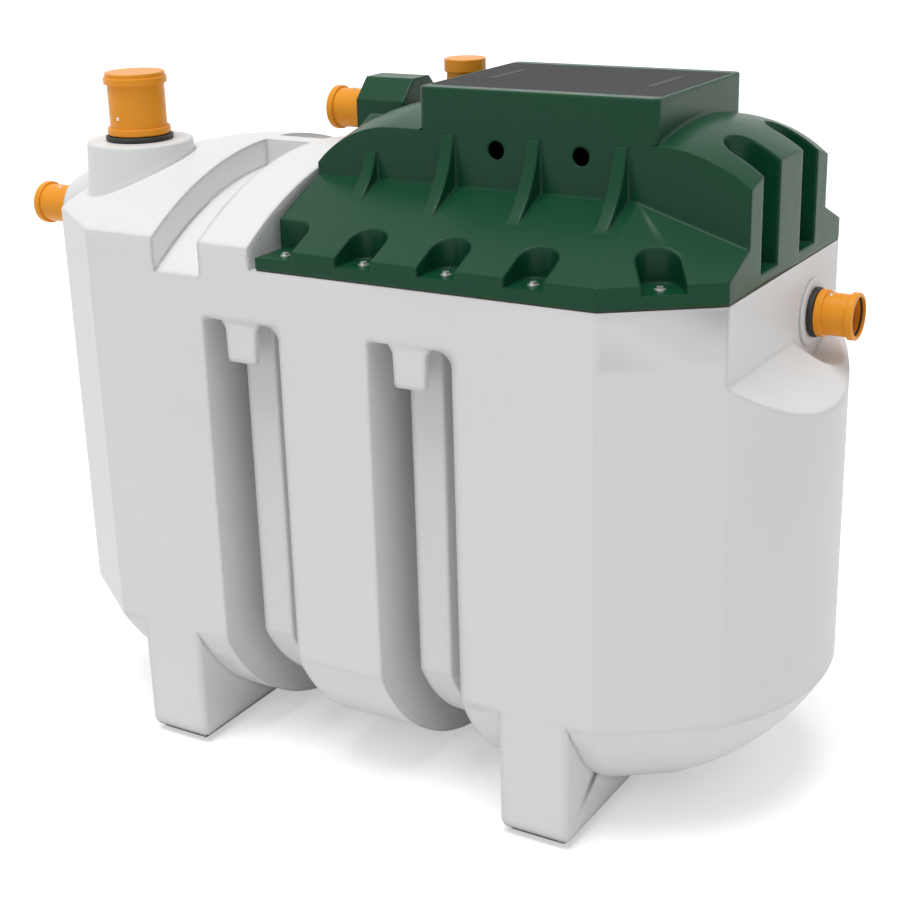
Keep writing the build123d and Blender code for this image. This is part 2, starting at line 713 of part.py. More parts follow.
# Crown with its air holes, the opening under the turret and the hole for the upright pipe
turret_mid = CX + (TURRET_LEFT + TURRET_RIGHT) / 2
with BuildPart() as lid_crown:
    add(lid_hull.part)
    with Locations((CX, 0, LID_Z)):
        Box(FAR, 2 * CROWN_HALF, FAR, align=(Align.CENTER, Align.CENTER, Align.MIN), mode=Mode.INTERSECT)
    with Locations((turret_mid, 0, CROWN_Z)):
        Box(
            TURRET_RIGHT - TURRET_LEFT - 2 * TURRET_LEDGE,
            2 * (CROWN_HALF - TURRET_LEDGE),
            4 * LID_WALL,
            mode=Mode.SUBTRACT,
        )
    with BuildSketch(Plane.XZ):
        with Locations(*[(CX + x, VENT_HOLE_Z) for x in VENT_HOLE_X]):
            Circle(VENT_HOLE_R)
    extrude(amount=CROWN_HALF + 20, both=True, mode=Mode.SUBTRACT)
    with Locations((CX + STACK_X, STACK_Y, CROWN_Z)):
        Cylinder(pipe_hole, 150, mode=Mode.SUBTRACT)
lid_crown.part.label = "lid_crown"
export_step(lid_crown.part, "parts/lid_crown.step")

# Sloping skirts on both sides
with BuildPart() as lid_skirt_front:
    add(lid_hull.part)
    with Locations((CX, -CROWN_HALF, LID_Z)):
        Box(FAR, FAR, FAR, align=(Align.CENTER, Align.MAX, Align.MIN), mode=Mode.INTERSECT)
lid_skirt_front.part.label = "lid_skirt_front"
export_step(lid_skirt_front.part, "parts/lid_skirt_front.step")
with BuildPart() as lid_skirt_back:
    mirror(lid_skirt_front.part, about=Plane.XZ)
lid_skirt_back.part.label = "lid_skirt_back"
export_step(lid_skirt_back.part, "parts/lid_skirt_back.step")

# Turret with the seat for the cover plate
cover_mid = CX + (COVER_LEFT + COVER_RIGHT) / 2
cover_length = COVER_RIGHT - COVER_LEFT
with BuildPart() as lid_turret:
    with BuildSketch(Plane.XY.offset(CROWN_Z)):
        with Locations((turret_mid, 0)):
            RectangleRounded(TURRET_RIGHT - TURRET_LEFT, 2 * CROWN_HALF, TURRET_CORNER)
    extrude(amount=TURRET_Z - CROWN_Z)
    fillet(lid_turret.edges().group_by(Axis.Z)[-1], TURRET_ROUND)
    with BuildSketch(Plane.XY.offset(CROWN_Z)):
        with Locations((turret_mid, 0)):
            RectangleRounded(
                TURRET_RIGHT - TURRET_LEFT - 2 * LID_WALL,
                2 * (CROWN_HALF - LID_WALL),
                TURRET_CORNER - LID_WALL,
            )
    extrude(amount=TURRET_Z - CROWN_Z - COVER_THICK - LID_WALL, mode=Mode.SUBTRACT)
    with BuildSketch(Plane.XY.offset(TURRET_Z)):
        with Locations((cover_mid, 0)):
            RectangleRounded(cover_length + 2 * COVER_GAP, 2 * (COVER_HALF + COVER_GAP), 10)
    extrude(amount=-COVER_THICK, mode=Mode.SUBTRACT)
    with BuildSketch(Plane.XY.offset(TURRET_Z)):
        with Locations((cover_mid, 0)):
            RectangleRounded(cover_length - 2 * COVER_SEAT, 2 * (COVER_HALF - COVER_SEAT), 8)
    extrude(amount=-40, mode=Mode.SUBTRACT)
lid_turret.part.label = "lid_turret"
export_step(lid_turret.part, "parts/lid_turret.step")

# Cover plate and its two smooth strips
with BuildPart() as cover_plate:
    with BuildSketch(Plane.XY.offset(TURRET_Z - COVER_THICK)):
        with Locations((cover_mid, 0)):
            RectangleRounded(cover_length, 2 * COVER_HALF, 8)
    extrude(amount=COVER_THICK)
cover_plate.part.label = "cover_plate"
export_step(cover_plate.part, "parts/cover_plate.step")
with BuildPart() as cover_strips:
    with BuildSketch(Plane.XY.offset(TURRET_Z)):
        with Locations(*[(cover_mid + s * STRIP_REACH, STRIP_Y) for s in (-1, 1)]):
            RectangleRounded(STRIP_WIDTH, STRIP_LENGTH, 4)
    extrude(amount=STRIP_THICK)
cover_strips.part.label = "cover_strips"
export_step(cover_strips.part, "parts/cover_strips.step")

# Gussets from the crown wall down to the skirt
wall_z = BREAK_Z + SKIRT_SLOPE * (HALF_WIDTH - CROWN_HALF)
foot_z = BREAK_Z + SKIRT_SLOPE * (HALF_WIDTH - GUSSET_FOOT_Y)
with BuildPart() as lid_gussets:
    for x, top in GUSSET_X:
        tip = (-CROWN_HALF - GUSSET_TIP, RIM_Z + top)
        with BuildSketch(Plane.YZ.offset(CX + x - GUSSET_WIDTH / 2)):
            with BuildLine():
                Polyline((-GUSSET_FOOT_Y, foot_z), (-CROWN_HALF, wall_z), (-CROWN_HALF, RIM_Z + top), tip)
                SagittaArc(tip, (-GUSSET_FOOT_Y, foot_z), GUSSET_SAG)
            make_face()
        extrude(amount=GUSSET_WIDTH)
    mirror(about=Plane.XZ)
lid_gussets.part.label = "lid_gussets"
export_step(lid_gussets.part, "parts/lid_gussets.step")

# Lid bolts standing on washers in the pockets
turn = radians(FACET_ANGLE)
bolt_set = FACET_SET - HALF_WIDTH + BOLT_Y
corner_x = CX + END_AXIS + CORNER_POCKET * cos(turn) + bolt_set * sin(turn)
corner_y = CORNER_POCKET * sin(turn) - bolt_set * cos(turn)
bolt_spots = [(CX + x, -BOLT_Y) for x in POCKET_X] + [(corner_x, corner_y)]
with BuildPart() as lid_bolts:
    with BuildSketch(Plane.XY.offset(POCKET_Z)):
        with Locations(*bolt_spots):
            Circle(WASHER_R)
    extrude(amount=WASHER_THICK)
    with BuildSketch(Plane.XY.offset(POCKET_Z + WASHER_THICK)):
        with Locations(*bolt_spots):
            RegularPolygon(BOLT_R, 6)
    extrude(amount=BOLT_HEIGHT)
    mirror(about=Plane.XZ)
lid_bolts.part.label = "lid_bolts"
export_step(lid_bolts.part, "parts/lid_bolts.step")

# Riser: seal, pipe, coupler and plug
riser_seal = seal(riser_place, RISER_SEAL, riser_hole, RISER_SEAL_R)
riser_seal.label = "riser_seal"
export_step(riser_seal, "parts/riser_seal.step")
riser_stop = RISER_COUPLER_LENGTH / 2 - STOP_HALF - 0.5
riser_pipe = pipe(
    riser_place * Location((0, 0, -PIPE_TAIL)),
    PIPE_TAIL + RISER_START - BOSS_Z + riser_stop,
    RISER_PIPE_R,
    RISER_PIPE_WALL,
)
riser_pipe.label = "riser_pipe"
export_step(riser_pipe, "parts/riser_pipe.step")
riser_coupler_place = Location((CX + RISER_X, RISER_Y, RISER_START))
riser_coupler = coupler(riser_coupler_place, RISER_COUPLER_LENGTH, RISER_SLEEVE_R, RISER_RING_R, riser_hole)
riser_coupler.label = "riser_coupler"
export_step(riser_coupler, "parts/riser_coupler.step")
with BuildPart() as riser_plug:
    with Locations(riser_coupler_place * Location((0, 0, RISER_COUPLER_LENGTH))):
        Cylinder(RISER_PIPE_R, 2 * PLUG_DEPTH)
        Cylinder(RISER_RING_R - 5, PLUG_RISE, align=(Align.CENTER, Align.CENTER, Align.MIN))
    with Locations(riser_coupler_place * Location((0, 0, RISER_COUPLER_LENGTH + PLUG_RISE))):
        Cylinder(RISER_RING_R, 200, align=(Align.CENTER, Align.CENTER, Align.MIN), mode=Mode.SUBTRACT)
    fillet(riser_plug.edges().group_by(Axis.Z)[-1], 2.5)
    with Locations(riser_coupler_place * Location((0, 0, RISER_COUPLER_LENGTH + PLUG_RISE - 6))):
        Cylinder(RISER_PIPE_R - 4, 200, align=(Align.CENTER, Align.CENTER, Align.MAX), mode=Mode.SUBTRACT)
riser_plug.part.label = "riser_plug"
export_step(riser_plug.part, "parts/riser_plug.step")

# Outlet: seal, pipe stub, coupler and the ring in its mouth
outlet_seal_place = outlet_place * Location((0, 0, OUTLET_RING_H))
outlet_seal = seal(outlet_seal_place, OUTLET_START - FLAT_X - OUTLET_RING_H - 1, pipe_hole, SEAL_R)
outlet_seal.label = "outlet_seal"
export_step(outlet_seal, "parts/outlet_seal.step")
outlet_pipe = pipe(
    outlet_place * Location((0, 0, -PIPE_TAIL)),
    PIPE_TAIL + OUTLET_START - FLAT_X + OUTLET_COUPLER / 2 - STOP_HALF - 0.5,
    PIPE_R,
    PIPE_WALL,
)
outlet_pipe.label = "outlet_pipe"
export_step(outlet_pipe, "parts/outlet_pipe.step")
outlet_coupler_place = Location((CX + OUTLET_START, OUTLET_Y, OUTLET_Z), (0, 90, 0))
outlet_coupler = coupler(outlet_coupler_place, OUTLET_COUPLER, SLEEVE_R, RING_R, pipe_hole)
outlet_coupler.label = "outlet_coupler"
export_step(outlet_coupler, "parts/outlet_coupler.step")
outlet_lip = lip(outlet_coupler_place, OUTLET_COUPLER)
outlet_lip.label = "outlet_lip"
export_step(outlet_lip, "parts/outlet_lip.step")

# Inlet: seal, pipe stub, coupler and the ring in its mouth
inlet_seal = seal(inlet_place, INLET_SEAL, pipe_hole, SEAL_R)
inlet_seal.label = "inlet_seal"
export_step(inlet_seal, "parts/inlet_seal.step")
inlet_pipe = pipe(
    inlet_place * Location((0, 0, -PIPE_TAIL)),
    PIPE_TAIL + INLET_END - INLET_FLAT - COUPLER_LENGTH / 2 - STOP_HALF - 0.5,
    PIPE_R,
    PIPE_WALL,
)
inlet_pipe.label = "inlet_pipe"
export_step(inlet_pipe, "parts/inlet_pipe.step")
inlet_coupler_place = Location((CX - INLET_END + COUPLER_LENGTH, INLET_Y, INLET_Z), (0, -90, 0))
inlet_coupler = coupler(inlet_coupler_place, COUPLER_LENGTH, SLEEVE_R, RING_R, pipe_hole)
inlet_coupler.label = "inlet_coupler"
export_step(inlet_coupler, "parts/inlet_coupler.step")
inlet_lip = lip(inlet_coupler_place, COUPLER_LENGTH)
inlet_lip.label = "inlet_lip"
export_step(inlet_lip, "parts/inlet_lip.step")

# Vent cowl, an eight-sided hood on the lid's left shoulder
with BuildPart() as vent_cowl:
    for grow in (0, LID_WALL):
        reach = COWL_REACH - grow
        corner = COWL_REACH * tan(radians(22.5)) - grow * tan(radians(22.5))
        with BuildSketch(Plane.YZ.offset(CX + COWL_LEFT + grow)):
            with Locations((VENT_Y, VENT_Z)):
                Polygon(
                    (-reach, COWL_FOOT_Z - VENT_Z - 3 * grow),
                    (-reach, corner),
                    (-corner, reach),
                    (corner, reach),
                    (reach, corner),
                    (reach, COWL_FOOT_Z - VENT_Z - 3 * grow),
                    align=None,
                )
        extrude(amount=COWL_RIGHT - COWL_LEFT - 2 * grow, mode=Mode.SUBTRACT if grow else Mode.ADD)
    add(lid_outer, mode=Mode.SUBTRACT)
    with Locations(Location((CX + COWL_LEFT, VENT_Y, VENT_Z), (0, 90, 0))):
        Cylinder(pipe_hole, 60, mode=Mode.SUBTRACT)
vent_cowl.part.label = "vent_cowl"
export_step(vent_cowl.part, "parts/vent_cowl.step")

# Vent: pipe stub and coupler
vent_place = Location((CX + VENT_END + COUPLER_LENGTH, VENT_Y, VENT_Z), (0, -90, 0))
vent_reach = 60 + COUPLER_LENGTH / 2 - STOP_HALF - 0.5
vent_pipe = pipe(vent_place * Location((0, 0, -60)), vent_reach, PIPE_R, PIPE_WALL)
vent_pipe.label = "vent_pipe"
export_step(vent_pipe, "parts/vent_pipe.step")
vent_coupler = coupler(vent_place, COUPLER_LENGTH, SLEEVE_R, RING_R, pipe_hole)
vent_coupler.label = "vent_coupler"
export_step(vent_coupler, "parts/vent_coupler.step")
vent_lip = lip(vent_place, COUPLER_LENGTH)
vent_lip.label = "vent_lip"
export_step(vent_lip, "parts/vent_lip.step")

# Small upright pipe and its cap
stack_top = STACK_Z - CAP_TOP - 0.5
stack_foot = Location((CX + STACK_X, STACK_Y, STACK_FOOT_Z))
stack_pipe = pipe(stack_foot, stack_top - STACK_FOOT_Z, PIPE_R, PIPE_WALL)
stack_pipe.label = "stack_pipe"
export_step(stack_pipe, "parts/stack_pipe.step")
with BuildPart() as stack_cap:
    with Locations((CX + STACK_X, STACK_Y, STACK_Z)):
        Cylinder(CAP_R, CAP_LENGTH, align=(Align.CENTER, Align.CENTER, Align.MAX))
    fillet(stack_cap.edges().filter_by(GeomType.CIRCLE), 3)
    with Locations((CX + STACK_X, STACK_Y, STACK_Z - CAP_TOP)):
        Cylinder(pipe_hole, CAP_LENGTH, align=(Align.CENTER, Align.CENTER, Align.MAX), mode=Mode.SUBTRACT)
stack_cap.part.label = "stack_cap"
export_step(stack_cap.part, "parts/stack_cap.step")
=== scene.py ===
"""Looks of a packaged sewage treatment plant: grey tank, green lid, orange pipes and rubber seals."""
from math import cos, pi, radians, sin

import bmesh
import bpy
from mathutils import Matrix, Vector
from mathutils.bvhtree import BVHTree


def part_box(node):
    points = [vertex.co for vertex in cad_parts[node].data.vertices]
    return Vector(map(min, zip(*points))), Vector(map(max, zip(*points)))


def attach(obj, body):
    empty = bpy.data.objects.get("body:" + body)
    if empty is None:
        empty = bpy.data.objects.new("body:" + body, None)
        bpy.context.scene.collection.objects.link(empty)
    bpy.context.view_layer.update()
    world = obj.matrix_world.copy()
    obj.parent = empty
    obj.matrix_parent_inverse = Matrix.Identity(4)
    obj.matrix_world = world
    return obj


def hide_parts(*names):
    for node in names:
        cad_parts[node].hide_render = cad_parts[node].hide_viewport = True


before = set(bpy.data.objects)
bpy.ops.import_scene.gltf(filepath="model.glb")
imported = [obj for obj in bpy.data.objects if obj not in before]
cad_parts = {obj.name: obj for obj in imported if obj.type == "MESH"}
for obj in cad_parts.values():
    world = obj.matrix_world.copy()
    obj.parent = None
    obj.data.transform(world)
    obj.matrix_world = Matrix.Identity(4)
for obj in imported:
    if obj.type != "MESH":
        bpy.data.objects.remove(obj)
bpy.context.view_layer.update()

X, Y, Z = range(3)

EDGE_SAMPLES = 6  # rays of the shader bevel


# Shader arithmetic: a number socket that takes plain operators

class Number:
    """A number inside a finish's node tree."""

    def __init__(self, finish, socket):
        self.finish = finish
        self.socket = socket

    def math(self, operation, *others):
        values = {n + 1: other for n, other in enumerate(others)}
        return self.finish.node("ShaderNodeMath", {"operation": operation}, {0: self, **values})

    def __add__(self, other):
        return self.math("ADD", other)

    def __sub__(self, other):
        return self.math("SUBTRACT", other)

    def __mul__(self, other):
        return self.math("MULTIPLY", other)

    def __radd__(self, other):
        return self.finish.node("ShaderNodeMath", {"operation": "ADD"}, {0: other, 1: self})

    def __rsub__(self, other):
        return self.finish.node("ShaderNodeMath", {"operation": "SUBTRACT"}, {0: other, 1: self})

    def __rmul__(self, other):
        return self.finish.node("ShaderNodeMath", {"operation": "MULTIPLY"}, {0: other, 1: self})

    def clamp(self):
        return self.math("MAXIMUM", 0.0).math("MINIMUM", 1.0)

    def contrast(self, gain, cut):
        """Itself times gain, less cut, and held between 0 and 1."""
        return (self * gain - cut).clamp()

    def above(self, low, swing):
        """Low where the number is 0, and higher by swing where it is 1."""
        return self * swing + low


class Finish:
    """A material being made, with its surface shader and output."""

    def __init__(self, name):
        self.material = bpy.data.materials.new(name)
        self.material.use_nodes = True
        self.tree = self.material.node_tree
        self.tree.nodes.clear()
        self.surface = self.tree.nodes.new("ShaderNodeBsdfPrincipled")
        self.output = self.tree.nodes.new("ShaderNodeOutputMaterial")
        self.tree.links.new(self.surface.outputs[0], self.output.inputs[0])
        self.place = self.node("ShaderNodeTexCoord", output="Object")

    def node(self, kind, settings=None, values=None, output=0):
        made = self.tree.nodes.new(kind)
        for key, value in (settings or {}).items():
            setattr(made, key, value)
        self.fill(made, values or {})
        return Number(self, made.outputs[output])

    def fill(self, made, values):
        for key, value in values.items():
            if isinstance(value, Number):
                self.tree.links.new(value.socket, made.inputs[key])
            else:
                made.inputs[key].default_value = value

    def noise(self, scale, detail=2.0, stretch=(1, 1, 1)):
        place = self.place
        if stretch != (1, 1, 1):
            place = self.node("ShaderNodeMapping", None, {"Vector": self.place, "Scale": stretch})
        values = {"Vector": place, "Scale": scale, "Detail": detail}
        return self.node("ShaderNodeTexNoise", None, values)

    def blend(self, factor, one, other):
        """Colour that goes from one to the other as factor goes from 0 to 1."""
        colours = {0: factor, 6: one, 7: other}
        return self.node("ShaderNodeMix", {"data_type": "RGBA"}, colours, output=2)

    def soft_edges(self, radius):
        return self.node("ShaderNodeBevel", {"samples": EDGE_SAMPLES}, {"Radius": radius})

    def bump(self, height, strength, distance, under=None):
        values = {"Height": height, "Strength": strength, "Distance": distance}
        if under:
            values["Normal"] = under
        return self.node("ShaderNodeBump", None, values)

    def set(self, **values):
        self.fill(self.surface, {key.replace("_", " "): value for key, value in values.items()})
        return self.material


def shade(red, green, blue):
    return (red, green, blue, 1.0)


def moulded_plastic(name, tone, dull, roughness, gloss, edge, skin):
    """Rotationally moulded plastic: faint clouding, a fine skin texture and slack flats."""
    finish = Finish(name)
    cloud = finish.noise(scale=1.7, detail=3.0)
    grain = finish.noise(scale=420.0, detail=2.0)
    slack = finish.noise(scale=4.0, detail=1.0)
    rub = finish.noise(scale=23.0, detail=4.0)
    colour = finish.blend(cloud.contrast(gain=1.6, cut=0.3), tone, dull)
    relief = finish.bump(slack, strength=0.07, distance=0.004, under=finish.soft_edges(edge))
    fine = finish.bump(grain, strength=skin, distance=0.0004, under=relief)
    rough = rub.above(roughness, swing=0.14)
    return finish.set(Base_Color=colour, Roughness=rough, Specular_IOR_Level=gloss, Normal=fine)


def drain_plastic(name, tone, dull, along):
    """Smooth extruded pipe plastic with faint draw lines along the pipe."""
    finish = Finish(name)
    stretch = tuple(4.0 if n == along else 120.0 for n in range(3))
    lines = finish.noise(scale=1.0, detail=2.0, stretch=stretch)
    scuff = finish.noise(scale=60.0, detail=4.0)
    cloud = finish.noise(scale=9.0, detail=2.0)
    colour = finish.blend(cloud.contrast(gain=1.4, cut=0.2), tone, dull)
    edges = finish.soft_edges(radius=0.0015)
    relief = finish.bump(lines, strength=0.10, distance=0.0004, under=edges)
    rough = scuff.above(0.24, swing=0.16)
    return finish.set(Base_Color=colour, Roughness=rough, Specular_IOR_Level=0.16, Normal=relief)


def seal_rubber(name, tone, roughness):
    """Black rubber with a dusty bloom and a fine grain."""
    finish = Finish(name)
    bloom = finish.noise(scale=38.0, detail=4.0)
    grain = finish.noise(scale=700.0, detail=2.0)
    dusty = shade(*(level * 2.2 + 0.01 for level in tone[:3]))
    colour = finish.blend(bloom.contrast(gain=2.4, cut=1.1), tone, dusty)
    relief = finish.bump(grain, strength=0.3, distance=0.0004)
    return finish.set(Base_Color=colour, Roughness=bloom.above(roughness, swing=0.2), Normal=relief)


def chequer_plate(name):
    """Dark coated plate with a fine raised chequer and scuffed patches at random."""
    finish = Finish(name)
    parts = finish.tree.nodes.new("ShaderNodeSeparateXYZ")
    finish.tree.links.new(finish.place.socket, parts.inputs[0])
    across = Number(finish, parts.outputs[0])
    back = Number(finish, parts.outputs[1])
    pitch = 0.015
    field, stud = shade(0.118, 0.118, 0.120), shade(0.030, 0.030, 0.031)
    scuffed = shade(0.12, 0.12, 0.122)
    one = ((across + back) * (pi / pitch)).math("SINE")
    other = ((across - back) * (pi / pitch)).math("SINE")
    studs = (one * other).contrast(gain=3.0, cut=0.6)
    wear = finish.noise(scale=14.0, detail=5.0)
    colour = finish.blend(studs, field, stud)
    worn = finish.blend(wear.contrast(gain=0.8, cut=0.3), colour, scuffed)
    relief = finish.bump(studs, strength=0.8, distance=0.0012)
    rough = wear.above(0.5, swing=0.2)
    return finish.set(Base_Color=worn, Roughness=rough, Specular_IOR_Level=0.0, Normal=relief)


def smooth_strip(name):
    """Smooth dark strip let into the chequer."""
    finish = Finish(name)
    wear = finish.noise(scale=30.0, detail=4.0)
    colour = finish.blend(wear, shade(0.128, 0.128, 0.130), shade(0.142, 0.142, 0.144))
    relief = finish.bump(wear, strength=0.1, distance=0.0005)
    rough = wear.above(0.42, swing=0.15)
    return finish.set(Base_Color=colour, Roughness=rough, Specular_IOR_Level=0.0, Normal=relief)


def zinc_plate(name):
    """Bright zinc plating with cloudy spangle."""
    finish = Finish(name)
    spangle = finish.noise(scale=260.0, detail=3.0)
    colour = finish.blend(spangle, shade(0.62, 0.61, 0.58), shade(0.80, 0.80, 0.78))
    relief = finish.bump(spangle, strength=0.15, distance=0.0003)
    rough = spangle.above(0.28, swing=0.2)
    return finish.set(Base_Color=colour, Metallic=0.85, Roughness=rough, Normal=relief)


pale_grey = shade(0.80, 0.80, 0.80)
worn_grey = shade(0.765, 0.768, 0.77)
deep_green = shade(0.0040, 0.056, 0.0225)
worn_green = shade(0.0060, 0.061, 0.0265)
drain_orange = shade(0.87, 0.345, 0.028)
worn_orange = shade(0.84, 0.32, 0.025)
tank_plastic = moulded_plastic(
    "satin_grey_tank", pale_grey, worn_grey, roughness=0.36, gloss=0.30, edge=0.026, skin=0.35
)
lid_plastic = moulded_plastic(
    "satin_green_lid", deep_green, worn_green, roughness=0.25, gloss=0.18, edge=0.013, skin=0.16
)
pipe_plastic = {
    along: drain_plastic("orange_drain_" + word, drain_orange, worn_orange, along)
    for along, word in ((X, "level"), (Z, "upright"))
}
rubber = seal_rubber("black_seal_rubber", shade(0.012, 0.012, 0.012), roughness=0.45)
foam = seal_rubber("brown_gasket_foam", shade(0.060, 0.050, 0.042), roughness=0.7)
cover_coat = chequer_plate("dark_chequer_coat")
strip_coat = smooth_strip("smooth_cover_strip")
zinc = zinc_plate("zinc_plated_steel")


# Pieces

SNAP = 1e-6  # how near a cut a corner counts as lying on it
SAME = 1e-5  # how near a joint or an end a corner counts as lying on it
SLACK = 1e-4  # how far a joint's corners may rise over its top
WELD = 2e-5  # corners nearer than this become one
LIFT = 0.0006  # how far over its face a ray starts
GRAZING = 0.08  # least cosine between a ray and its face's normal
CORNER_SHARE = 0.85  # where on the way from a face's middle to a corner a ray starts
RAY_COUNT = 44


def only(piece):
    """Selects one piece and makes it active."""
    bpy.ops.object.select_all(action="DESELECT")
    piece.select_set(True)
    bpy.context.view_layer.objects.active = piece


def every_face():
    """All the CAD's faces in one search tree."""
    points, faces = [], []
    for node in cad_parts.values():
        start = len(points)
        points.extend(node.matrix_world @ vertex.co for vertex in node.data.vertices)
        faces.extend([start + n for n in face.vertices] for face in node.data.polygons)
    return BVHTree.FromPolygons(points, faces)


def spread(count):
    """Directions spread evenly over a sphere."""
    turn = pi * (3 - 5**0.5)
    heights = [1 - 2 * (n + 0.5) / count for n in range(count)]
    return [
        Vector((cos(turn * n) * (1 - z * z) ** 0.5, sin(turn * n) * (1 - z * z) ** 0.5, z))
        for n, z in enumerate(heights)
    ]


def shows(face):
    """Whether any of the face can be seen from outside the plant."""
    middle = face.calc_center_median()
    spots = [middle] + [middle.lerp(corner.co, CORNER_SHARE) for corner in face.verts]
    ways = [face.normal] + [way for way in directions if way.dot(face.normal) > GRAZING]
    for spot in spots:
        start = spot + face.normal * LIFT
        if any(surroundings.ray_cast(start, way)[0] is None for way in ways):
            return True
    return False


def split_copy(name):
    """Loose copy of a CAD node that carries its surface normals as a corner attribute."""
    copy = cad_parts[name].copy()
    copy.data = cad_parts[name].data.copy()
    copy.parent = None
    for key in list(copy.keys()):
        del copy[key]
    bpy.context.scene.collection.objects.link(copy)
    kept = [0.0] * (3 * len(copy.data.loops))
    copy.data.corner_normals.foreach_get("vector", kept)
    attribute = copy.data.attributes.new("cad_normal", "FLOAT_VECTOR", "CORNER")
    attribute.data.foreach_set("vector", kept)
    return copy


def skin(title, nodes, finish, cuts=(), joints=(), hide=False):
    """Skin that stands for the named CAD nodes as one moulding, with only what shows if hide is set.

    Cuts are planes, as axis and level, that give neighbouring nodes the same corners. Joints are planes,
    with the height of their top, where two nodes meet inside the moulding and neither keeps its face.
    """
    copies = [split_copy(name) for name in nodes]
    only(copies[0])
    for copy in copies[1:]:
        copy.select_set(True)
    if len(copies) > 1:
        bpy.ops.object.join()
    piece = copies[0]
    piece.name = title
    piece.data.name = title
    mesh = bmesh.new()
    mesh.from_mesh(piece.data)
    for axis, level in cuts:
        point, way = Vector(), Vector()
        point[axis], way[axis] = level, 1.0
        everything = mesh.verts[:] + mesh.edges[:] + mesh.faces[:]
        bmesh.ops.bisect_plane(mesh, geom=everything, dist=SNAP, plane_co=point, plane_no=way)
    for axis, level, top in joints:
        met = [
            face
            for face in mesh.faces
            if all(abs(corner.co[axis] - level) < SAME for corner in face.verts)
            and all(corner.co.z < top + SLACK for corner in face.verts)
        ]
        bmesh.ops.delete(mesh, geom=met, context="FACES")
    if hide:
        unseen = [face for face in mesh.faces if not shows(face)]
        bmesh.ops.delete(mesh, geom=unseen, context="FACES")
    bmesh.ops.remove_doubles(mesh, verts=mesh.verts, dist=WELD)
    mesh.to_mesh(piece.data)
    mesh.free()
    piece.data.materials.clear()
    piece.data.materials.append(finish)
    piece.data.polygons.foreach_set("use_smooth", [True] * len(piece.data.polygons))
    piece.data.validate()
    normals = [corner.vector.normalized() for corner in piece.data.attributes["cad_normal"].data]
    piece.data.attributes.remove(piece.data.attributes["cad_normal"])
    piece.data.normals_split_custom_set(normals)
    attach(piece, "root")
    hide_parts(*nodes)
    return piece


HEAD_RADIUS = 0.0055
HEAD_DEPTH = 0.0032
HEAD_MIDDLE = (0, 0, 0.0012)
HEAD_ROUNDING = 0.0014
HEAD_RIM = 0.001  # corners over this height are on the head's upper rim
CROSS_SIZE = (0.0062, 0.0012, 0.0018)
CROSS_MIDDLE = (0, 0, 0.003)


def screw_head(title, point, outward):
    """Pan-head screw with a cross slot, lying on a pipe's sleeve."""
    bpy.ops.object.select_all(action="DESELECT")
    bpy.ops.mesh.primitive_cylinder_add(
        vertices=24, radius=HEAD_RADIUS, depth=HEAD_DEPTH, location=HEAD_MIDDLE
    )
    piece = bpy.context.object
    piece.name = title
    bpy.ops.object.mode_set(mode="EDIT")
    mesh = bmesh.from_edit_mesh(piece.data)
    for part in list(mesh.verts) + list(mesh.edges) + list(mesh.faces):
        part.select_set(False)
    for edge in mesh.edges:
        edge.select_set(all(corner.co.z > HEAD_RIM for corner in edge.verts))
    bmesh.update_edit_mesh(piece.data)
    bpy.ops.mesh.bevel(offset=HEAD_ROUNDING, segments=3)
    bpy.ops.object.mode_set(mode="OBJECT")
    bpy.ops.mesh.primitive_cube_add(size=1.0, location=CROSS_MIDDLE, scale=CROSS_SIZE)
    slot = bpy.context.object
    turned = slot.copy()
    turned.data = slot.data.copy()
    bpy.context.scene.collection.objects.link(turned)
    turned.rotation_euler[2] = pi / 2
    for cutter in (slot, turned):
        cut = piece.modifiers.new("cross_slot", "BOOLEAN")
        cut.operation = "DIFFERENCE"
        cut.object = cutter
        only(piece)
        bpy.context.view_layer.update()
        bpy.ops.object.modifier_apply(modifier=cut.name)
    for cutter in (slot, turned):
        bpy.data.objects.remove(cutter)
    turn = Vector((0, 0, 1)).rotation_difference(Vector(outward)).to_matrix().to_4x4()
    piece.data.transform(Matrix.Translation(Vector(point)) @ turn @ piece.matrix_world)
    piece.matrix_world = Matrix.Identity(4)
    piece.data.materials.append(zinc)
    only(piece)
    bpy.ops.object.shade_smooth_by_angle(angle=radians(35))
    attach(piece, "root")


def end_of(node, axis, high):
    """Lowest or highest place of a CAD node along one axis."""
    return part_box(node)[1 if high else 0][axis]


# Tank and lid as the two mouldings they are
surroundings = every_face()
directions = spread(RAY_COUNT)
recess_top = end_of("tank_headers", Z, high=False)
panel_side = end_of("tank_middle_panels", X, high=True)
panel_other = end_of("tank_middle_panels", X, high=False)
wall_inside = 0.592  # inner face of the side walls, from the middle
recess_back = 0.36  # back of the strap recesses, from the middle
tank_cuts = (
    (Z, recess_top),
    (X, panel_side),
    (X, panel_other),
    (Y, -wall_inside),
    (Y, wall_inside),
    (Y, -recess_back),
    (Y, recess_back),
)
skirt_top = end_of("lid_skirt_front", Z, high=True)
skirt_end = end_of("lid_skirt_front", X, high=True)
skirt_corners = [corner.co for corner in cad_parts["lid_skirt_front"].data.vertices]
skirt_low = max(place.z for place in skirt_corners if place.x > skirt_end - SAME)
crown_side = end_of("lid_crown", Y, high=True)
lid_cuts = ((Z, skirt_top), (Z, skirt_low))
lid_joints = tuple((Y, side * crown_side, skirt_low) for side in (-1, 1))
tank_nodes = [
    "foot_rails",
    "tank_belly",
    "tank_bowls",
    "tank_left_end",
    "tank_right_end",
    "tank_headers",
    "tank_middle_panels",
    "recess_linings",
    "recess_corners",
    "strap_tabs",
    "tank_roof",
    "tank_deck",
]
lid_nodes = ["lid_crown", "lid_skirt_front", "lid_skirt_back", "lid_gussets", "lid_turret", "vent_cowl"]
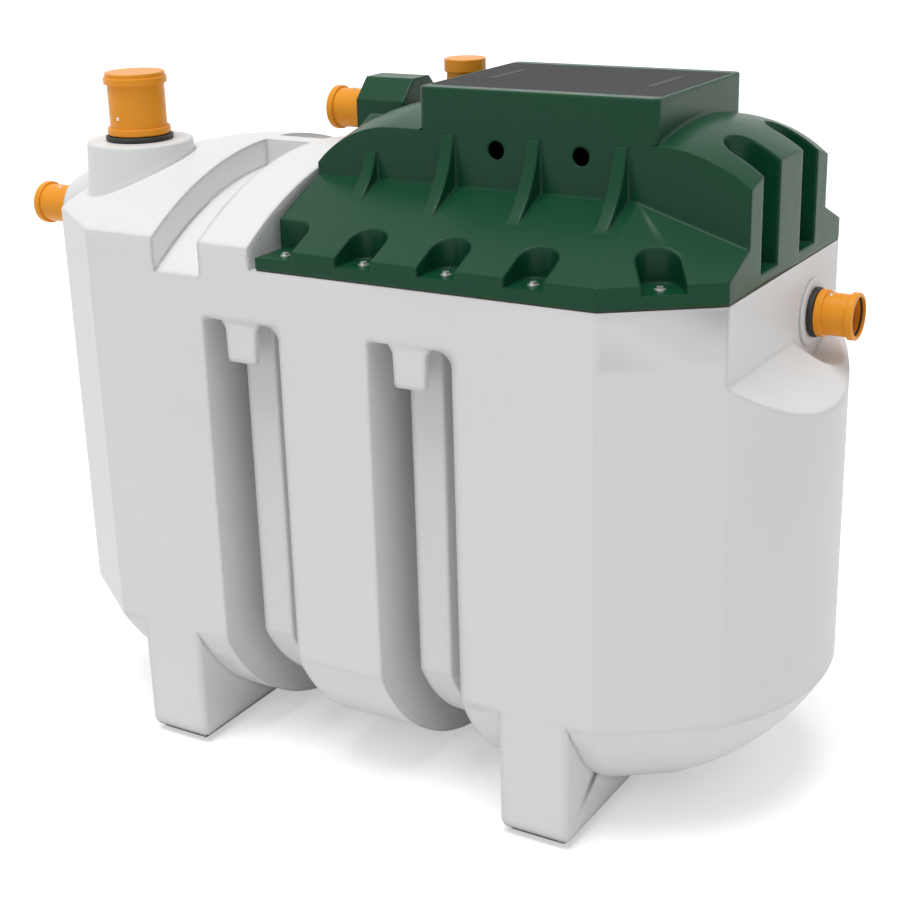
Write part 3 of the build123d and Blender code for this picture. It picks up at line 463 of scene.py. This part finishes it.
tank = skin("tank_moulding", tank_nodes, tank_plastic, tank_cuts, hide=True)
lid = skin("lid_moulding", lid_nodes, lid_plastic, lid_cuts, lid_joints, hide=True)

level_pipes = tuple(
    place + part for place in ("inlet", "outlet", "vent") for part in ("_coupler", "_pipe")
)
upright_pipes = ("riser_coupler", "riser_pipe", "riser_plug", "stack_pipe", "stack_cap")
rubber_rings = ("inlet_seal", "outlet_seal", "riser_seal", "inlet_lip", "outlet_lip", "vent_lip")
for name in level_pipes:
    skin(name + "_skin", [name], pipe_plastic[X])
for name in upright_pipes:
    skin(name + "_skin", [name], pipe_plastic[Z])
for name in rubber_rings:
    skin(name + "_skin", [name], rubber)

dressed = {"lid_gasket": foam, "cover_plate": cover_coat, "cover_strips": strip_coat, "lid_bolts": zinc}
for name, finish in dressed.items():
    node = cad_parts[name]
    node.data.materials.clear()
    node.data.materials.append(finish)


# Coupler screws
RING_PROUD = 0.007  # how far a coupler's ring stands over its sleeve
RISER_RING_PROUD = 0.009
RISER_SCREW_ANGLE = radians(267)
RISER_SCREW_HEIGHT = 0.053


def level_screw(title, node, along, angle):
    """Screw on a level coupler, at a place along it and an angle round it in degrees."""
    low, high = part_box(node)
    middle = (low + high) / 2
    radius = (high.z - low.z) / 2 - RING_PROUD
    outward = (0, cos(radians(angle)), sin(radians(angle)))
    point = Vector((along, middle.y, middle.z)) + Vector(outward) * radius
    screw_head(title, point, outward)


inlet_end = end_of("inlet_coupler", X, high=False)
vent_end = end_of("vent_coupler", X, high=False)
outlet_end = end_of("outlet_coupler", X, high=True)
level_screw("inlet_screw", "inlet_coupler", along=inlet_end + 0.079, angle=109)
level_screw("vent_screw", "vent_coupler", along=vent_end + 0.065, angle=89)
level_screw("outlet_screw_front", "outlet_coupler", along=outlet_end - 0.076, angle=106)
level_screw("outlet_screw_back", "outlet_coupler", along=outlet_end - 0.076, angle=74)
riser_low, riser_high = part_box("riser_coupler")
riser_middle = (riser_low + riser_high) / 2
riser_radius = (riser_high.x - riser_low.x) / 2 - RISER_RING_PROUD
riser_out = Vector((cos(RISER_SCREW_ANGLE), sin(RISER_SCREW_ANGLE), 0))
riser_point = Vector((riser_middle.x, riser_middle.y, riser_low.z + RISER_SCREW_HEIGHT))
screw_head("riser_screw", riser_point + riser_out * riser_radius, riser_out)


# Floor, light and camera
FLOOR_SIZE = 160.0
FLOOR_GLOW = 0.42
ROOM_LIGHT = 0.44
KEY_LIGHT = 2.15
KEY_SPREAD = radians(38)
KEY_TOWARDS = (-0.03, -0.20, 0.98)

# The standpoint, solved from the photograph
PHOTO_WIDTH = 900  # pixels
FOCAL_LENGTH = 1702.84  # pixels
SENSOR_WIDTH = 36.0  # millimetres
CAMERA_TURN = radians(31.441)
CAMERA_RISE = radians(19.85)
CAMERA_ROLL = radians(-1.663)
TARGET = (0.4465, 0, 1.555)  # the place that the next three distances start from
CAMERA_BACK = 4.847571
CAMERA_LEFT = 0.292803
CAMERA_DOWN = 0.580746
FAR_CLIP = 400.0


def pale_floor():
    """Wide pale floor that shows white to the camera and keeps a soft shadow."""
    bpy.ops.object.select_all(action="DESELECT")
    bpy.ops.mesh.primitive_plane_add(size=FLOOR_SIZE)
    floor = bpy.context.object
    floor.name = "pale_floor"
    finish = Finish("pale_floor_paint")
    finish.set(Base_Color=shade(0.80, 0.80, 0.80), Roughness=0.9, Specular_IOR_Level=0.0)
    path = finish.tree.nodes.new("ShaderNodeLightPath")
    direct = Number(finish, path.outputs["Is Camera Ray"])
    mirrored = Number(finish, path.outputs["Is Glossy Ray"])
    glow = finish.tree.nodes.new("ShaderNodeEmission")
    finish.fill(glow, {"Strength": direct.math("MAXIMUM", mirrored) * FLOOR_GLOW})
    both = finish.tree.nodes.new("ShaderNodeAddShader")
    finish.tree.links.new(finish.surface.outputs[0], both.inputs[0])
    finish.tree.links.new(glow.outputs[0], both.inputs[1])
    finish.tree.links.new(both.outputs[0], finish.output.inputs[0])
    floor.data.materials.append(finish.material)


def studio_light():
    """Even pale surroundings, with one broad soft light from above."""
    world = bpy.data.worlds.new("pale_studio")
    bpy.context.scene.world = world
    world.use_nodes = True
    tree = world.node_tree
    tree.nodes.clear()
    path = tree.nodes.new("ShaderNodeLightPath")
    seen = tree.nodes.new("ShaderNodeMath")
    seen.operation = "MAXIMUM"
    tree.links.new(path.outputs["Is Camera Ray"], seen.inputs[0])
    tree.links.new(path.outputs["Is Glossy Ray"], seen.inputs[1])
    clear = tree.nodes.new("ShaderNodeMath")
    clear.operation = "MAXIMUM"
    tree.links.new(seen.outputs[0], clear.inputs[0])
    tree.links.new(path.outputs["Is Transmission Ray"], clear.inputs[1])
    room = tree.nodes.new("ShaderNodeBackground")
    room.inputs["Color"].default_value = shade(1.0, 1.0, 1.0)
    room.inputs["Strength"].default_value = ROOM_LIGHT
    white = tree.nodes.new("ShaderNodeBackground")
    white.inputs["Color"].default_value = shade(1.0, 1.0, 1.0)
    white.inputs["Strength"].default_value = 1.0
    pick = tree.nodes.new("ShaderNodeMixShader")
    output = tree.nodes.new("ShaderNodeOutputWorld")
    tree.links.new(clear.outputs[0], pick.inputs[0])
    tree.links.new(room.outputs[0], pick.inputs[1])
    tree.links.new(white.outputs[0], pick.inputs[2])
    tree.links.new(pick.outputs[0], output.inputs[0])
    lamp = bpy.data.lights.new("soft_key", "SUN")
    lamp.energy = KEY_LIGHT
    lamp.angle = KEY_SPREAD
    key = bpy.data.objects.new("soft_key", lamp)
    bpy.context.scene.collection.objects.link(key)
    towards = Vector(KEY_TOWARDS).normalized()
    key.rotation_euler = towards.to_track_quat("Z", "Y").to_euler()


def front_camera():
    """Camera at the photograph's standpoint: right front corner, a little above the lid."""
    turn, rise, roll = CAMERA_TURN, CAMERA_RISE, CAMERA_ROLL
    back = Vector((sin(turn) * cos(rise), -cos(turn) * cos(rise), sin(rise)))
    level = Vector((cos(turn), sin(turn), 0))
    upward = back.cross(level)
    right = level * cos(roll) + upward * sin(roll)
    up = upward * cos(roll) - level * sin(roll)
    place = back * CAMERA_BACK - right * CAMERA_LEFT - up * CAMERA_DOWN + Vector(TARGET)
    lens = bpy.data.cameras.new("front_camera")
    lens.sensor_width = SENSOR_WIDTH
    lens.lens = FOCAL_LENGTH / PHOTO_WIDTH * SENSOR_WIDTH
    lens.clip_end = FAR_CLIP
    camera = bpy.data.objects.new("front_camera", lens)
    bpy.context.scene.collection.objects.link(camera)
    axes = Matrix((right, up, back)).transposed().to_4x4()
    camera.matrix_world = Matrix.Translation(place) @ axes
    bpy.context.scene.camera = camera


pale_floor()
studio_light()
front_camera()
bpy.context.scene.view_settings.view_transform = "Standard"
